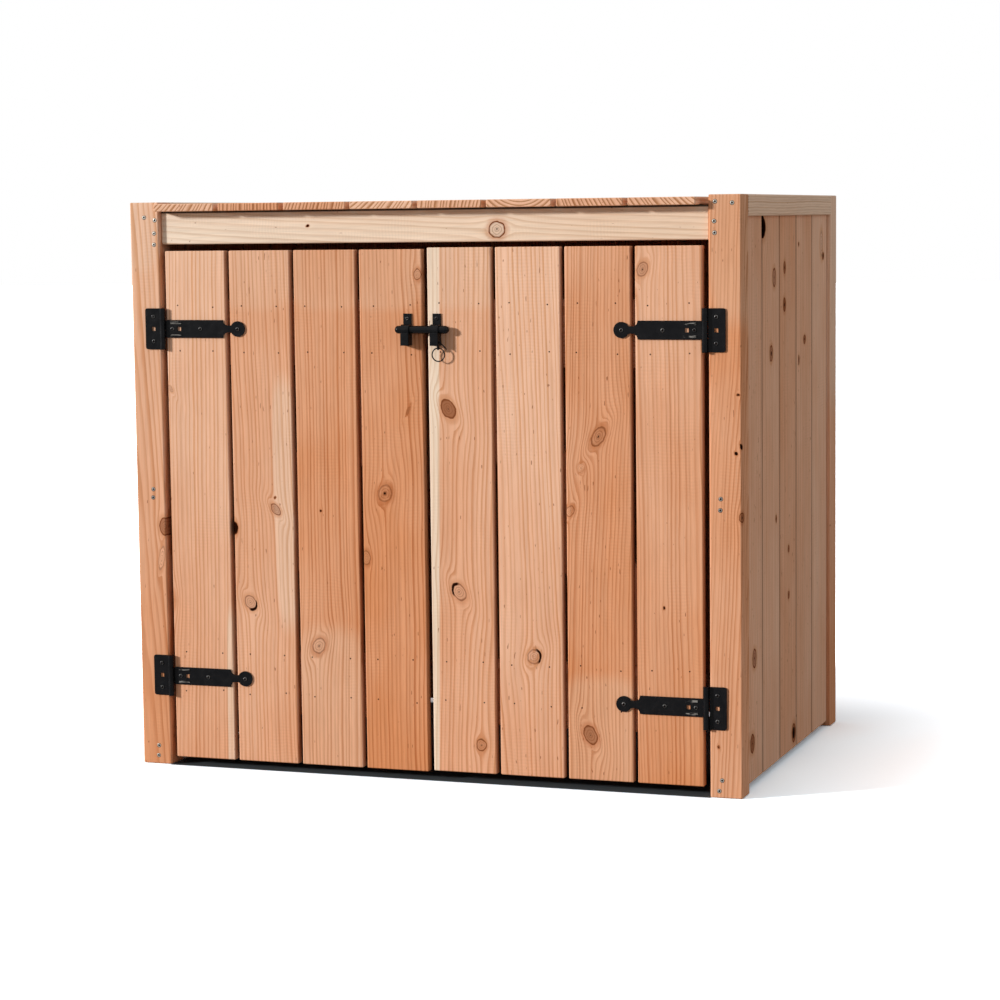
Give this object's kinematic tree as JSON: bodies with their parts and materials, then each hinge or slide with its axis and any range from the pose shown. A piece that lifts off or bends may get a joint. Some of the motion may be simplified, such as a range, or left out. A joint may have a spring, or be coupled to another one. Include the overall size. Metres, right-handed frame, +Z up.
{
  "type": "wheelie bin store",
  "caption": "Timber wheelie bin store with boarded walls and roof, and double doors on tee hinges with a sliding bolt.",
  "frame": {"origin": "on the floor, under the middle of the whole outline", "axes": "+X to the right along the doors, -Y out of the front, +Z up"},
  "size_m": [1.35, 0.903, 1.22],
  "materials": {
    "planed_softwood": "planed, untreated, warm reddish brown",
    "pale_sapwood": "planed, untreated, pale cream",
    "black_coated_steel": "satin black powder coat"
  },
  "bodies": {
    "root": {"back_boards": "planed_softwood", "front_left_post": "planed_softwood", "front_right_post": "planed_softwood", "front_top_rail": "pale_sapwood", "hinge_pins": "black_coated_steel", "left_bottom_rail": "planed_softwood", "left_side_board_1": "planed_softwood", "left_side_board_2": "planed_softwood", "left_side_board_3": "planed_softwood", "left_side_board_4": "planed_softwood", "left_side_board_5": "planed_softwood", "left_top_rail": "planed_softwood", "left_wall_battens": "planed_softwood", "lower_left_hinge_plate": "black_coated_steel", "lower_right_hinge_plate": "black_coated_steel", "rear_bottom_rail": "planed_softwood", "rear_left_post": "planed_softwood", "rear_right_post": "planed_softwood", "rear_top_rail": "planed_softwood", "right_bottom_rail": "planed_softwood", "right_side_board_1": "planed_softwood", "right_side_board_2": "planed_softwood", "right_side_board_3": "planed_softwood", "right_side_board_4": "planed_softwood", "right_side_board_5": "planed_softwood", "right_top_rail": "planed_softwood", "right_wall_battens": "planed_softwood", "roof_bearer": "planed_softwood", "roof_board_1": "planed_softwood", "roof_board_2": "planed_softwood", "roof_board_3": "planed_softwood", "roof_board_4": "planed_softwood", "roof_board_5": "planed_softwood", "roof_board_6": "planed_softwood", "roof_board_7": "planed_softwood", "roof_board_8": "planed_softwood", "upper_left_hinge_plate": "black_coated_steel", "upper_right_hinge_plate": "black_coated_steel"},
    "left_door": {"latch_keeper": "black_coated_steel", "left_brace": "planed_softwood", "left_door_board_1": "planed_softwood", "left_door_board_2": "planed_softwood", "left_door_board_3": "planed_softwood", "left_door_board_4": "planed_softwood", "left_lower_ledge": "planed_softwood", "left_upper_ledge": "planed_softwood", "lower_left_hinge_strap": "black_coated_steel", "upper_left_hinge_strap": "black_coated_steel"},
    "right_door": {"latch_guide": "black_coated_steel", "lower_right_hinge_strap": "black_coated_steel", "right_brace": "planed_softwood", "right_door_board_1": "planed_softwood", "right_door_board_2": "planed_softwood", "right_door_board_3": "planed_softwood", "right_door_board_4": "planed_softwood", "right_lower_ledge": "planed_softwood", "right_upper_ledge": "planed_softwood", "upper_right_hinge_strap": "black_coated_steel"},
    "latch_bolt": {"latch_bolt": "black_coated_steel"},
    "pull_ring": {"latch_ring": "black_coated_steel"}
  },
  "joints": [
    {"name": "left_door_hinge", "type": "hinge", "parent": "root", "child": "left_door", "pos_m": [-0.6005, -0.4345, 0.5735], "axis": [0, 0, 1], "range_deg": [-180, 0]},
    {"name": "right_door_hinge", "type": "hinge", "parent": "root", "child": "right_door", "pos_m": [0.6005, -0.4345, 0.567], "axis": [0, 0, 1], "range_deg": [0, 180]},
    {"name": "bolt_slide", "type": "slide", "parent": "right_door", "child": "latch_bolt", "axis": [1, 0, 0], "range_m": [0, 0.072]},
    {"name": "ring_swing", "type": "hinge", "parent": "right_door", "child": "pull_ring", "pos_m": [0.033, -0.43955, 0.912], "axis": [1, 0, 0], "range_deg": [-90, 15]}
  ]
}
